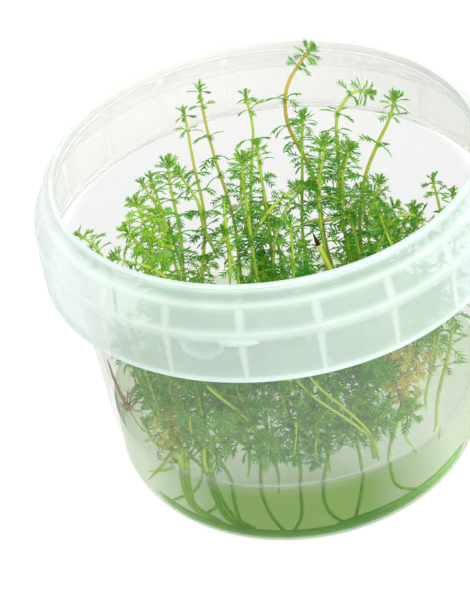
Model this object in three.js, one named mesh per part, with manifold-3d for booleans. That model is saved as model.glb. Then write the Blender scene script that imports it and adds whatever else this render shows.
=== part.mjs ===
// Young Myriophyllum tuberculatum plants from tissue culture, standing in nutrient gel in an open plastic tub.
// Millimetres, +Z up. The tub stands on z = 0 and its axis is the Z axis. The viewer stands at -Y.
import * as THREE from "three";
import { mergeVertices } from "three/addons/utils/BufferGeometryUtils.js";
import Module from "manifold-3d";

const wasm = await Module();
wasm.setup();

// Driving dimensions of the tub
const tubHeight = 81.6;
const mouthRadius = 47.5;
const baseFlatRadius = 30.8;
const cornerRadius = 11.6;
const wall = 1.2;
const wallTaper = 0.065;
const recessDepth = 0.4;
const skirtRadius = 51.8;
const skirtThickness = 1.1;
const skirtDraft = 0.2;
const skirtBottom = 60.3;
const ridgeHeight = 72.3;
const ledgeRadius = 49.5;
const ledgeHeight = 78.7;
const ledgeThickness = 1.5;
const edgeRound = 0.4;
const lipHeight = 2.2;
const webCount = 20;
const webAzimuth = -101;
const webThickness = 1.2;
const tubSides = 32;
const cornerSteps = 4;
const footWidth = 4.4;
const markAzimuth = -115.5;
const markWidth = 10;
const markSag = 3.6;
const markDepth = 1.6;
const barAzimuth = -106.5;
const barWidth = 9.5;
const barRadius = 0.8;

// Driving dimensions of the gel and the plants
const gap = 0.3;
const gelTop = 21.8;
const meniscus = 0.8;
const stemRadius = 0.6;
const stemSides = 4;
const runnerRadius = 0.8;
const leafLength = 4.8;
const leafSlope = 14;
const leafThickness = 0.45;
const budSlope = 50;
const budRadius = 0.3;
const plantletTurn = 50;
const whorlTurn = 35;
const stemStep = 11;
const lowerWhorlGap = 14;
const clearOverGel = 5;

const colours = {
  tub: "#e6ebe4",
  gel: "#a9cbb0",
  leaf: "#4c9a2a",
  stem: "#a9b545",
  dead: "#8a6a4c",
};

const radians = THREE.MathUtils.degToRad;

// Radius of the wall's outer face at height z, above the corner
function wallOuter(z) {
  return baseFlatRadius + cornerRadius + (z - cornerRadius) * wallTaper;
}

// Free radius inside the tub at height z
function wallInner(z) {
  if (z >= cornerRadius) return wallOuter(z) - wall;
  const inner = cornerRadius - wall;
  const drop = cornerRadius - z;
  return baseFlatRadius + Math.sqrt(Math.max(inner * inner - drop * drop, 0));
}

function solidOf(geometry) {
  geometry.deleteAttribute("normal");
  geometry.deleteAttribute("uv");
  const merged = mergeVertices(geometry, 1e-3);
  return new wasm.Manifold(new wasm.Mesh({
    numProp: 3,
    vertProperties: new Float32Array(merged.attributes.position.array),
    triVerts: new Uint32Array(merged.index.array),
  }));
}

function meshOf(name, solid, colour, roughness) {
  const result = solid.getMesh();
  const geometry = new THREE.BufferGeometry();
  geometry.setAttribute("position", new THREE.BufferAttribute(new Float32Array(result.vertProperties), 3));
  geometry.setIndex(new THREE.BufferAttribute(new Uint32Array(result.triVerts), 1));
  geometry.computeVertexNormals();
  const material = new THREE.MeshStandardMaterial({ color: colour, roughness, metalness: 0 });
  const mesh = new THREE.Mesh(geometry, material);
  mesh.name = name;
  return mesh;
}

// Points of an arc in the profile plane, from one angle to another in degrees
function arc(centreR, centreZ, radius, from, to, steps) {
  const points = [];
  for (let i = 0; i <= steps; i += 1) {
    const angle = radians(from + ((to - from) * i) / steps);
    points.push(new THREE.Vector2(centreR + radius * Math.cos(angle), centreZ + radius * Math.sin(angle)));
  }
  return points;
}

// Turns a closed profile of (radius, height) points about the Z axis
function turned(points, segments) {
  const geometry = new THREE.LatheGeometry(points, segments);
  geometry.rotateX(Math.PI / 2);
  return solidOf(geometry);
}

// A closed tube with flat ends along a curve
function tube(curve, radius, sides, steps) {
  const corners = [];
  for (let i = 0; i < sides; i += 1) {
    const angle = (i / sides) * 2 * Math.PI;
    corners.push(new THREE.Vector2(radius * Math.cos(angle), radius * Math.sin(angle)));
  }
  const section = new THREE.Shape(corners);
  return solidOf(new THREE.ExtrudeGeometry(section, { steps, extrudePath: curve, bevelEnabled: false }));
}

function curveThrough(points) {
  return new THREE.CatmullRomCurve3(points.map((p) => new THREE.Vector3(...p)), false, "centripetal");
}

// The tub: one profile turned about its axis, with the webs between wall and skirt joined on
function makeTub() {
  const p = (r, z) => new THREE.Vector2(r, z);
  const innerSkirt = skirtRadius - skirtThickness;
  const gapTop = ledgeHeight - ledgeThickness;
  const lipInner = wallInner(tubHeight);
  const profile = [
    p(0, recessDepth),
    p(baseFlatRadius - footWidth - edgeRound, recessDepth),
    p(baseFlatRadius - footWidth, 0),
    ...arc(baseFlatRadius, cornerRadius, cornerRadius, -90, 0, cornerSteps),
    p(wallOuter(skirtBottom), skirtBottom),
    p(wallOuter(gapTop), gapTop),
    p(ledgeRadius - ledgeThickness, gapTop),
    p(innerSkirt, ridgeHeight - edgeRound),
    p(innerSkirt - skirtDraft, skirtBottom),
    p(skirtRadius, skirtBottom),
    p(skirtRadius, ridgeHeight + edgeRound),
    p(ledgeRadius, ledgeHeight - edgeRound),
    p(ledgeRadius - edgeRound, ledgeHeight),
    p(mouthRadius - edgeRound, ledgeHeight),
    p(mouthRadius - edgeRound, tubHeight - 2 * edgeRound),
    p(mouthRadius, tubHeight - edgeRound),
    p(mouthRadius - edgeRound, tubHeight),
    p(lipInner + edgeRound, tubHeight),
    p(lipInner + edgeRound, tubHeight - lipHeight),
    p(lipInner - edgeRound / 2, tubHeight - lipHeight - edgeRound),
    ...arc(baseFlatRadius, cornerRadius, cornerRadius - wall, 0, -90, cornerSteps),
    p(0, wall),
  ];
  let solid = turned(profile, tubSides);
  for (let i = 0; i < webCount; i += 1) {
    solid = solid.add(makeWeb(webAzimuth + (i * 360) / webCount, innerSkirt, gapTop));
  }
  return solid.add(makeThumbMark()).add(makeBar());
}

// One web fills the gap behind the shoulder and narrows down along the skirt
function makeWeb(azimuth, innerSkirt, gapTop) {
  const bite = 0.4;
  const foot = skirtBottom + 0.6;
  const outline = new THREE.Shape([
    new THREE.Vector2(wallOuter(gapTop) - bite, gapTop + bite),
    new THREE.Vector2(innerSkirt - webThickness, foot),
    new THREE.Vector2(innerSkirt + bite, foot),
    new THREE.Vector2(innerSkirt + bite, ridgeHeight - bite),
    new THREE.Vector2(ledgeRadius - ledgeThickness, gapTop + bite),
  ]);
  const geometry = new THREE.ExtrudeGeometry(outline, { depth: webThickness, bevelEnabled: false });
  geometry.translate(0, 0, -webThickness / 2);
  geometry.rotateX(Math.PI / 2);
  geometry.rotateZ(radians(azimuth));
  return solidOf(geometry);
}

function onSkirt(radius, azimuth, z) {
  return [radius * Math.cos(radians(azimuth)), radius * Math.sin(radians(azimuth)), z];
}

// A shallow half-moon moulded on the skirt between two webs
function makeThumbMark() {
  const points = [];
  for (let i = 0; i <= 6; i += 1) {
    const across = i / 6;
    const sag = markSag * Math.sqrt(1 - (2 * across - 1) ** 2);
    points.push(onSkirt(skirtRadius, markAzimuth + markWidth * across, ridgeHeight - markDepth - sag));
  }
  return tube(curveThrough(points), 0.5, 4, 6);
}

// A short raised bar that crosses one web just under the ridge
function makeBar() {
  const points = [];
  for (let i = 0; i <= 2; i += 1) {
    points.push(onSkirt(skirtRadius - barRadius / 3, barAzimuth + (barWidth * i) / 2, ridgeHeight - markDepth));
  }
  return tube(curveThrough(points), barRadius, 4, 3);
}

// Every plantlet is a row: its stem's points from foot to tip, and the gaps between its upper whorls from the
// tip down. Below those the gap is lowerWhorlGap.
const plantlets = [
  { path: [[-17, 2, 6], [-18, 5, 30], [-17.5, 8, 47], [-15.5, 14, 58], [-15.5, 20, 68], [-16.3, 24, 80]],
    gaps: [3.4, 10, 4.2] },
  { path: [[-8, 14, 6], [-9, 19, 35], [-9.6, 23, 58], [-11, 27, 66], [-12.3, 30, 74], [-12, 30, 82]],
    gaps: [4, 7.5, 5, 4.5] },
  { path: [[-6, 4, 6], [-7, 9, 30], [-6, 14, 47], [-3, 21, 63], [-1.7, 25, 72], [-2, 27, 80]],
    gaps: [2.4, 7, 8] },
  { path: [[0, -2, 6], [-0.5, 2, 35], [-1.3, 7, 57], [-1, 12, 76]],
    gaps: [2.4, 4.6] },
  { path: [[14, 16, 6], [12, 22, 35], [10, 26, 58], [6.8, 30, 70], [7.6, 32, 78], [11.5, 34, 82.5],
    [14, 34.5, 85]],
    gaps: [3.2, 8, 6.5, 4.5, 5.5, 4] },
  { path: [[5, 6, 6], [6, 10, 35], [7.5, 15, 63], [9.4, 17, 74], [10.2, 18, 78]],
    gaps: [3, 5, 6] },
  { path: [[16, 6, 6], [16, 11, 40], [16.5, 16, 71], [18.3, 17, 79], [22, 18, 82.5], [25.2, 18, 81.8]],
    gaps: [2.6, 5, 4.2, 5.5] },
  { path: [[17, 13, 6], [19, 16, 35], [21.5, 17, 59], [26, 19, 67], [29, 19.5, 72], [31, 20, 78]],
    gaps: [2.4, 7.5, 8.5, 5] },
  { path: [[-24, -2, 6], [-22, 3, 40], [-21.3, 8, 62], [-21.2, 10, 76]],
    gaps: [3, 4, 4] },
  { path: [[-18, -9, 6], [-20, -5, 35], [-23.3, 1, 62], [-25.1, 4, 77]],
    gaps: [2.6, 5] },
  { path: [[-30, -4, 6], [-30.5, -5, 40], [-26, -5, 66], [-29, -4, 78]],
    gaps: [2.6, 5] },
  { path: [[-25, -18, 6], [-27.5, -18, 40], [-26.6, -14, 62], [-27.5, -11, 72], [-28.6, -10, 79]],
    gaps: [2.2, 2.6, 3, 4] },
  { path: [[-3, -9, 6], [-4.5, -5, 40], [-5.5, 3, 71], [-4.7, 4, 78]],
    gaps: [2.4, 3.4, 4] },
  { path: [[9, -2, 6], [10, 2, 40], [11.9, 7, 70], [14.1, 8, 77]],
    gaps: [2.4, 3, 4] },
  { path: [[22, 3, 6], [19, 5, 40], [16.6, 8, 64], [19, 10, 73]],
    gaps: [2.4, 3, 4] },
  { path: [[29, -4, 6], [34, -4, 35], [36.7, -4, 62], [35.8, -2, 70]],
    gaps: [2.6, 5.5] },
  { path: [[29, -13, 6], [36, -14, 40], [38.8, -14, 74]],
    gaps: [2.6, 6] },
  { path: [[-30, -9, 6], [-37, -13, 40], [-40, -14, 68], [-39.6, -14, 76]],
    gaps: [2.6, 3.5] },
  { path: [[-13, -15, 6], [-17, -19, 45], [-25, -21, 69], [-34, -21, 75]],
    gaps: [2.4, 3.6, 4, 5] },
  { path: [[13, -9, 6], [19, -7, 45], [25.5, -8, 64.5], [29.6, -8, 66], [33.5, -9, 61]],
    gaps: [3, 4.5, 5] },
  { path: [[-10, -31, 5], [-10.5, -32, 28], [-13, -29.5, 45], [-15, -25, 61]],
    gaps: [3.5, 9] },
  { path: [[-3, -31.5, 5], [-2.5, -32, 28], [-4, -30, 45], [-6, -25, 63]],
    gaps: [3.5, 9] },
  { path: [[3.5, -31.5, 5], [5, -31, 28], [7, -28, 45], [5.5, -22, 64]],
    gaps: [3.5, 9] },
  { path: [[10, -30, 5], [12, -30, 27], [15.5, -28, 42], [18, -23, 60]],
    gaps: [3.5, 9] },
  { path: [[18, -26, 5], [21, -28, 26], [24.5, -27.5, 40], [27, -24, 56]],
    gaps: [3.5, 9] },
  { path: [[-21, -24, 5], [-28, -26, 27], [-32, -24, 42], [-34, -19, 56]],
    gaps: [3.5, 9] },
  { path: [[-17, -27, 5], [-20, -29.5, 27], [-22, -28, 42], [-22, -22, 58]],
    gaps: [3.5, 9] },
  { path: [[-8, -20, 5], [-8, -20, 30], [-9, -14, 52], [-11, -9, 69]],
    gaps: [3.5, 9] },
  { path: [[4, -18, 5], [3, -18, 30], [2.5, -14, 52], [3.5, -9, 69]],
    gaps: [3.5, 9] },
  { path: [[23, -13, 5], [25, -15, 30], [26, -14, 50], [23, -8, 68]],
    gaps: [3.5, 9] },
  { path: [[28, 8, 5], [30, 10, 30], [31.5, 11, 48], [33, 10, 63]],
    gaps: [3.5, 9] },
  { path: [[2, 24, 5], [1, 28, 30], [-1, 32, 50], [-3, 34, 64]],
    gaps: [3.5, 9] },
  { path: [[-19, 19, 5], [-22, 23, 30], [-24, 26, 48], [-26, 25, 64]],
    gaps: [3.5, 9] },
  { path: [[22, 22, 5], [22, 26, 30], [22, 30, 48], [21, 30, 64]],
    gaps: [3.5, 9] },
];

const cutStemPath = [[15, -17, 5], [14.5, -18, 30], [12.5, -16, 52], [8.1, -12, 67.5]];
const deadSprigPath = [[-33, -12, 16], [-37.5, -15, 27], [-39, -15, 38], [-39.5, -15, 47]];

// The creeping stems lie on the corner of the floor. Each has an angle round the corner and a stretch in
// azimuth.
const runners = [
  { dip: 53, from: -150, to: -58 },
  { dip: 67, from: -132, to: -36 },
  { dip: 40, from: -84, to: -28 },
];

// Everything that a leaf has to stay clear of: lines with the distance to keep from them
const crowd = [];

function keepClearOf(start, end, distance, owner) {
  crowd.push({ line: new THREE.Line3(start.clone(), end.clone()), distance, owner });
}

const nearest = new THREE.Vector3();

function isFree(points, owner) {
  for (const point of points) {
    if (point.z < gelTop + meniscus + gap) return false;
    const room = wallInner(Math.min(point.z, tubHeight)) - 2 * leafThickness;
    if (Math.hypot(point.x, point.y) > room) return false;
    for (const thing of crowd) {
      if (thing.owner === owner) continue;
      thing.line.closestPointToPoint(point, true, nearest);
      if (nearest.distanceTo(point) < thing.distance) return false;
    }
  }
  return true;
}

// The longest of a few lengths that a leaf in this direction has room for
function leafReach(root, direction, length, owner) {
  for (const share of [1, 0.85, 0.7, 0.55, 0.4]) {
    const reach = length * share;
    const along = [1, 0.8, 0.6, 0.45].map((part) => root.clone().addScaledVector(direction, reach * part));
    if (!isFree(along, owner)) continue;
    keepClearOf(root, along[0], leafThickness * 1.5 + gap, owner);
    return reach;
  }
  return stemRadius;
}

// A ring of four corners round the stem, square to it. The corners at leafPair are drawn out as two leaves.
function ringAt(place, shift, radius, turn, leafPair = null, leaf = null, owner = null) {
  const centre = place.point.clone().addScaledVector(place.tangent, shift);
  const u = new THREE.Vector3(0, 1, 0).addScaledVector(place.tangent, -place.tangent.y).normalize();
  const w = u.clone().cross(place.tangent);
  const corners = [];
  for (let k = 0; k < 4; k += 1) {
    const angle = radians(turn + k * 90);
    const outward = u.clone().multiplyScalar(Math.sin(angle)).addScaledVector(w, Math.cos(angle));
    if (k % 2 !== leafPair) {
      corners.push(centre.clone().addScaledVector(outward, radius));
      continue;
    }
    const slope = radians(leaf.slope);
    const direction = outward.multiplyScalar(Math.cos(slope)).addScaledVector(place.tangent, Math.sin(slope));
    corners.push(centre.clone().addScaledVector(direction, leafReach(centre, direction, leaf.length, owner)));
  }
  return { centre, corners };
}

// A whorl of four leaves: two opposite ones, and just above them the other two
function whorlRings(place, turn, leaf, owner) {
  return [
    ringAt(place, -leafThickness, stemRadius, turn),
    ringAt(place, 0, stemRadius, turn, 0, leaf, owner),
    ringAt(place, leafThickness * 0.7, stemRadius, turn, 1, leaf, owner),
    ringAt(place, leafThickness * 1.6, stemRadius, turn),
  ];
}

// One closed skin over the rings, with a flat end on the first and the last
function skinOver(rings) {
  const geometry = new THREE.CylinderGeometry(1, 1, 1, 4, rings.length - 1);
  const position = geometry.attributes.position;
  for (let v = 0; v < position.count; v += 1) {
    const x = position.getX(v);
    const z = position.getZ(v);
    const ring = rings[Math.round((position.getY(v) + 0.5) * (rings.length - 1))];
    const corner = (Math.round((Math.atan2(x, z) * 2) / Math.PI) + 4) % 4;
    const target = Math.hypot(x, z) < 0.5 ? ring.centre : ring.corners[corner];
    position.setXYZ(v, target.x, target.y, target.z);
  }
  return solidOf(geometry);
}

// A point of a curve and its direction there, at a distance from the tip
function fromTip(curve, length, distance) {
  const at = 1 - distance / length;
  return { point: curve.getPointAt(at), tangent: curve.getTangentAt(at) };
}

// Distances from the tip of the whorls above the gel
function whorlDistances(row, curve, length) {
  const places = [];
  let distance = 0;
  for (let i = 0; i < 30; i += 1) {
    distance += i < row.gaps.length ? row.gaps[i] : lowerWhorlGap;
    if (distance > length || fromTip(curve, length, distance).point.z < gelTop + clearOverGel) break;
    places.push(distance);
  }
  return places;
}

function makePlantlet(row, index) {
  const curve = curveThrough(row.path);
  const length = curve.getLength();
  const turn = index * plantletTurn;
  const rings = [ringAt(fromTip(curve, length, length), 0, stemRadius, turn)];
  for (let distance = length - stemStep; distance > 0; distance -= stemStep) {
    const place = fromTip(curve, length, distance);
    if (place.point.z > gelTop + clearOverGel) break;
    rings.push(ringAt(place, 0, stemRadius, turn));
  }
  const whorls = whorlDistances(row, curve, length).reverse();
  whorls.forEach((distance, i) => {
    const leaf = { length: leafLength, slope: leafSlope };
    rings.push(...whorlRings(fromTip(curve, length, distance), turn + i * whorlTurn, leaf, index));
  });
  const tip = fromTip(curve, length, leafThickness);
  const bud = { length: leafLength * 0.8, slope: budSlope };
  const budTurn = turn + whorls.length * whorlTurn;
  rings.push(...whorlRings(tip, budTurn, bud, index).slice(0, 3));
  rings.push(ringAt(tip, leafThickness * 2, budRadius, budTurn));
  return skinOver(rings);
}

function runnerCurve(row) {
  const reach = cornerRadius - wall - gap - runnerRadius;
  const radius = baseFlatRadius + reach * Math.cos(radians(row.dip));
  const z = cornerRadius - reach * Math.sin(radians(row.dip));
  const points = [];
  for (let i = 0; i <= 8; i += 1) points.push(onSkirt(radius, row.from + ((row.to - row.from) * i) / 8, z));
  return curveThrough(points);
}

// The pocket that the set gel has round a stem: the stem's own line, a little wider and a little deeper
function stemPocket(path) {
  const curve = curveThrough(path);
  const length = curve.getLength();
  const start = curve.getPointAt(0).addScaledVector(curve.getTangentAt(0), -gap - 0.1);
  const end = curve.getPointAt(((gelTop + 2 - path[0][2]) * 1.15) / length);
  const radius = (stemRadius + gap) / Math.cos(Math.PI / stemSides);
  return tube(new THREE.LineCurve3(start, end), radius, stemSides, 1);
}

function makeGel(stemPaths) {
  const p = (r, z) => new THREE.Vector2(r, z);
  const top = gelTop + meniscus;
  const profile = [
    p(0, wall + gap),
    ...arc(baseFlatRadius, cornerRadius, cornerRadius - wall - gap, -90, 0, 4),
    p(wallInner(top) - gap, top),
    p(wallInner(gelTop) - 2, gelTop),
    p(0, gelTop),
  ];
  let solid = turned(profile, tubSides);
  for (const path of stemPaths) solid = solid.subtract(stemPocket(path));
  for (const row of runners) {
    const longer = { ...row, from: row.from - 1, to: row.to + 1 };
    solid = solid.subtract(tube(runnerCurve(longer), runnerRadius + gap, 4, 7));
  }
  return solid;
}

const group = new THREE.Group();

const stemPaths = [...plantlets.map((row) => row.path), cutStemPath, deadSprigPath];
stemPaths.forEach((path, index) => {
  const curve = curveThrough(path);
  const steps = Math.round(curve.getLength() / stemStep);
  const points = curve.getSpacedPoints(steps);
  const distance = stemRadius + leafThickness + gap;
  for (let i = 0; i < steps; i += 1) keepClearOf(points[i], points[i + 1], distance, index);
});

group.add(meshOf("tub", makeTub(), colours.tub, 0.35));
group.add(meshOf("gel", makeGel(stemPaths), colours.gel, 0.15));
plantlets.forEach((row, index) => {
  const name = `plantlet_${String(index + 1).padStart(2, "0")}`;
  group.add(meshOf(name, makePlantlet(row, index), colours.leaf, 0.6));
});
runners.forEach((row, index) => {
  const solid = tube(runnerCurve(row), runnerRadius, 4, 7);
  group.add(meshOf(`runner_${index + 1}`, solid, colours.stem, 0.5));
});
group.add(meshOf("cut_stem", tube(curveThrough(cutStemPath), stemRadius, stemSides, 6), colours.stem, 0.6));
group.add(meshOf("dead_sprig", tube(curveThrough(deadSprigPath), stemRadius, stemSides, 4), colours.dead, 0.8));

export default group;
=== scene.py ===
# %% [markdown]
# Young water milfoil from tissue culture, standing in its open tub. The real thing is a moulded plastic tub
# with a hanging skirt, a set layer of nutrient gel in it, and a few dozen young stems that carry whorls of
# feathery leaves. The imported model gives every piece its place, and this lesson dresses each one.

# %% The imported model
import bmesh
import bpy
import math
import random
from mathutils import Matrix, Vector
import numpy as np


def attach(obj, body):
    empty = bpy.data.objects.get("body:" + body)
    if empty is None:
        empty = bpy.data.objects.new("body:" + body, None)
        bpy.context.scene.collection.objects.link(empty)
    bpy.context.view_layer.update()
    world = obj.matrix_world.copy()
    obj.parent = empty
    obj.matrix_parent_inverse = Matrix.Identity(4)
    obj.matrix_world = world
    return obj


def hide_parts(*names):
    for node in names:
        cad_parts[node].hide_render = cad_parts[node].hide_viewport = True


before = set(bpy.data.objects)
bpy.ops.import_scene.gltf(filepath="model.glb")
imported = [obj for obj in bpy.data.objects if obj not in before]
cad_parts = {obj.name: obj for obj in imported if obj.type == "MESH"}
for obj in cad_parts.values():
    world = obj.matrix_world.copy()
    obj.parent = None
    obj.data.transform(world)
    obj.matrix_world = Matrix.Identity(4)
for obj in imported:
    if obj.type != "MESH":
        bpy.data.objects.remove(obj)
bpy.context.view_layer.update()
scene = bpy.context.scene
MM = 0.001

# %% [markdown]
# The camera stands in front of the tub and looks down into it. Its place was worked out from the circles of
# the lip, the ridge and the skirt, which show as ellipses in a picture of 470 by 596 pixels. It could also be
# turned by eye, but then the ellipses would never all agree. The aim point is the middle of the tub's axis,
# and a pan and a tilt bring that point to its own pixel.

# %% Camera
PICTURE_SIZE = (470, 596)
PICTURE_MIDDLE = (235, 298)
AIM_PIXEL = (285.1, 302.9)
FOCAL_LENGTH_PIXELS = 2477.0
CAMERA_DISTANCE = 560.2 * MM
CAMERA_ELEVATION = math.radians(37.13)
CAMERA_ROLL = math.radians(-8.38)
SENSOR_WIDTH_MM = 36.0
aim_point = Vector((0, 0, 40.8 * MM))


def camera_axes():
    """The picture's right, down and forward directions in the room, as the rows of a matrix."""
    up = Vector((0, math.sin(CAMERA_ELEVATION), math.cos(CAMERA_ELEVATION)))
    ahead = Vector((0, math.cos(CAMERA_ELEVATION), -math.sin(CAMERA_ELEVATION)))
    side = Vector((1, 0, 0))
    turned_right = side * math.cos(CAMERA_ROLL) + up * math.sin(CAMERA_ROLL)
    turned_down = side * math.sin(CAMERA_ROLL) - up * math.cos(CAMERA_ROLL)
    pan_pixels = AIM_PIXEL[0] - PICTURE_MIDDLE[0]
    tilt_pixels = AIM_PIXEL[1] - PICTURE_MIDDLE[1]
    pan = math.atan2(pan_pixels, FOCAL_LENGTH_PIXELS)
    tilt = math.atan2(tilt_pixels, math.hypot(FOCAL_LENGTH_PIXELS, pan_pixels))
    tilting = Matrix(((1, 0, 0), (0, math.cos(tilt), math.sin(tilt)), (0, -math.sin(tilt), math.cos(tilt))))
    panning = Matrix(((math.cos(pan), 0, math.sin(pan)), (0, 1, 0), (-math.sin(pan), 0, math.cos(pan))))
    return panning @ tilting @ Matrix((turned_right, turned_down, ahead)), ahead


axes, ahead = camera_axes()
camera_data = bpy.data.cameras.new("camera")
camera_data.sensor_width = SENSOR_WIDTH_MM
camera_data.lens = FOCAL_LENGTH_PIXELS / max(PICTURE_SIZE) * SENSOR_WIDTH_MM
camera_data.clip_start = 0.01
camera = bpy.data.objects.new("camera", camera_data)
scene.collection.objects.link(camera)
turn = Matrix((axes[0], -axes[1], -axes[2])).transposed()
camera.matrix_world = Matrix.Translation(aim_point - ahead * CAMERA_DISTANCE) @ turn.to_4x4()
scene.camera = camera
print("lens", round(camera_data.lens, 1), "mm")

# %% [markdown]
# Materials are built from one small function that adds a node with its settings and links, and one that
# turns the sRGB hex colour of a paint chart into the linear values that a shader works with.

# %% Helpers for materials


def linear(hex_colour):
    """An sRGB hex colour as linear red, green, blue and an alpha of 1."""
    values = []
    for at in (1, 3, 5):
        part = int(hex_colour[at:at + 2], 16) / 255
        values.append(part / 12.92 if part <= 0.04045 else ((part + 0.055) / 1.055) ** 2.4)
    return (*values, 1.0)


def plug(tree, socket, value):
    """Links an input to another socket, or sets its value."""
    if isinstance(value, bpy.types.NodeSocket):
        tree.links.new(value, socket)
    else:
        socket.default_value = value


def add_node(tree, kind, settings=None, inputs=None):
    """A new node with its settings and inputs."""
    node = tree.nodes.new(kind)
    for name, value in (settings or {}).items():
        setattr(node, name, value)
    for name, value in (inputs or {}).items():
        plug(tree, node.inputs[name], value)
    return node


def new_material(name):
    """An empty material, its node tree and its output node."""
    material = bpy.data.materials.new(name)
    material.use_nodes = True
    tree = material.node_tree
    tree.nodes.clear()
    return material, tree, add_node(tree, "ShaderNodeOutputMaterial")


def main_shader(tree, output, inputs):
    """The shader that does all of the surface."""
    shader = add_node(tree, "ShaderNodeBsdfPrincipled", None, inputs)
    tree.links.new(shader.outputs[0], output.inputs["Surface"])


def mix_colours(tree, share, first, second):
    """The colour socket of a mix of two colours."""
    node = add_node(tree, "ShaderNodeMix", {"data_type": "RGBA"})
    for at, value in ((0, share), (6, first), (7, second)):
        plug(tree, node.inputs[at], value)
    return node.outputs[2]


def calculate(tree, operation, *values):
    """The result of a maths node."""
    node = add_node(tree, "ShaderNodeMath", {"operation": operation})
    for socket, value in zip(node.inputs, values):
        plug(tree, socket, value)
    return node.outputs[0]


def ramp(tree, value, start, end, low=0.0, high=1.0, shape="LINEAR"):
    """Runs from low to high while the value runs from start to end."""
    node = add_node(tree, "ShaderNodeMapRange", {"interpolation_type": shape}, {
        "Value": value, "From Min": start, "From Max": end, "To Min": low, "To Max": high})
    return node.outputs[0]


def stored(tree, name, output="Fac"):
    """What the mesh has stored under a name."""
    return add_node(tree, "ShaderNodeAttribute", {"attribute_name": name}).outputs[output]


def place_on(tree):
    """The place on the piece, and its X, Y and Z."""
    place = add_node(tree, "ShaderNodeTexCoord").outputs["Object"]
    return place, add_node(tree, "ShaderNodeSeparateXYZ", None, {"Vector": place}).outputs


def blots(tree, place, size, detail=2.0):
    """Soft noise with blots of a size in mm."""
    node = add_node(tree, "ShaderNodeTexNoise", None, {
        "Vector": place, "Scale": 1 / (size * MM), "Detail": detail})
    return node.outputs["Fac"]


def bumps(tree, height, strength, depth):
    """A relief of a depth in mm for the shader's normal."""
    node = add_node(tree, "ShaderNodeBump", None, {
        "Strength": strength, "Distance": depth * MM, "Height": height})
    return node.outputs[0]


# %% Helpers for meshes


def new_piece(name, bm, materials, smooth=True):
    """An object at the origin with the bmesh as its mesh."""
    mesh = bpy.data.meshes.new(name)
    bm.to_mesh(mesh)
    bm.free()
    if smooth:
        mesh.shade_smooth()
    return placed(name, mesh, materials)


def placed(name, mesh, materials):
    """An object at the origin with a mesh and its materials."""
    for material in materials:
        mesh.materials.append(material)
    piece = bpy.data.objects.new(name, mesh)
    scene.collection.objects.link(piece)
    return piece


# %% [markdown]
# The tub stands on a plain white light table, as small clear goods do in product pictures. The table glows a
# little, so hardly any shadow falls on it and the gel is lit from below too. The room gives even light from
# all round, and a large soft panel in front, above and to the right gives the leaves a light side. The
# colours go to the screen unchanged.

# %% Floor and light
FLOOR_SIZE = 3.0
TABLE_GLOW = 0.92
SKY_STRENGTH = 1.0
PANEL_SIZE = 0.6
PANEL_WATTS = 3.8
PANEL_PLACE = Vector((0.20, -0.50, 0.46))

card, tree, output = new_material("white light table")
noise = add_node(tree, "ShaderNodeTexNoise", None, {"Scale": 40.0, "Detail": 4.0})
tone = mix_colours(tree, noise.outputs["Fac"], linear("#585857"), linear("#5c5c5c"))
main_shader(tree, output, {
    "Base Color": tone, "Roughness": 0.9, "Emission Color": (1, 1, 1, 1), "Emission Strength": TABLE_GLOW})
bm = bmesh.new()
bmesh.ops.create_grid(bm, x_segments=1, y_segments=1, size=FLOOR_SIZE)
new_piece("floor", bm, [card], smooth=False)

world = bpy.data.worlds.new("white room")
world.use_nodes = True
sky = world.node_tree.nodes["Background"].inputs
sky["Color"].default_value = (1, 1, 1, 1)
sky["Strength"].default_value = SKY_STRENGTH
scene.world = world

panel_data = bpy.data.lights.new("soft panel", "AREA")
panel_data.size = PANEL_SIZE
panel_data.energy = PANEL_WATTS
panel = bpy.data.objects.new("soft panel", panel_data)
panel.location = PANEL_PLACE
panel.rotation_euler = (aim_point - PANEL_PLACE).to_track_quat("-Z", "Y").to_euler()
scene.collection.objects.link(panel)

scene.view_settings.view_transform = "Standard"
scene.view_settings.look = "None"
scene.cycles.transparent_max_bounces = 48
scene.cycles.max_bounces = 16
scene.cycles.transmission_bounces = 12
scene.cycles.sample_clamp_indirect = 6.0

# %% [markdown]
# The tub is one moulding of milky polypropylene. It is a turned shape, so half of its cross-section is drawn
# once and spun round the axis. Twenty webs stand between the wall and the skirt, and every sharp ring gets a
# small round, because moulded plastic has none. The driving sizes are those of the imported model.

# %% Sizes of the tub
TUB_HEIGHT = 81.6
MOUTH_RADIUS = 47.5
BASE_RADIUS = 30.8
CORNER_RADIUS = 11.6
WALL = 1.2
WALL_TAPER = 0.065
LOW_WALL = 0.5
LOW_WALL_TOP = 24.0
SKIRT_RADIUS = 51.8
SKIRT_THICKNESS = 1.1
SKIRT_BOTTOM = 60.3
RIDGE_HEIGHT = 72.3
LEDGE_RADIUS = 49.5
LEDGE_HEIGHT = 78.7
LEDGE_THICKNESS = 1.5
LIP_HEIGHT = 2.2
FOOT_WIDTH = 4.4
RECESS_DEPTH = 0.4
WEB_COUNT = 20
WEB_AZIMUTH = -101
GEL_TOP = 21.8
MENISCUS = 0.9
TUB_STEPS = 144
CORNER_STEPS = 14
RING_ANGLE = 18
RING_ROUND = 0.16
SHARP_ANGLE = 35


def clamped(value):
    """The value, kept between 0 and 1."""
    return min(max(value, 0), 1)


def wall_outer(z):
    """Radius of the wall's outer face, in mm, above the corner."""
    return BASE_RADIUS + CORNER_RADIUS + (z - CORNER_RADIUS) * WALL_TAPER


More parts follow.
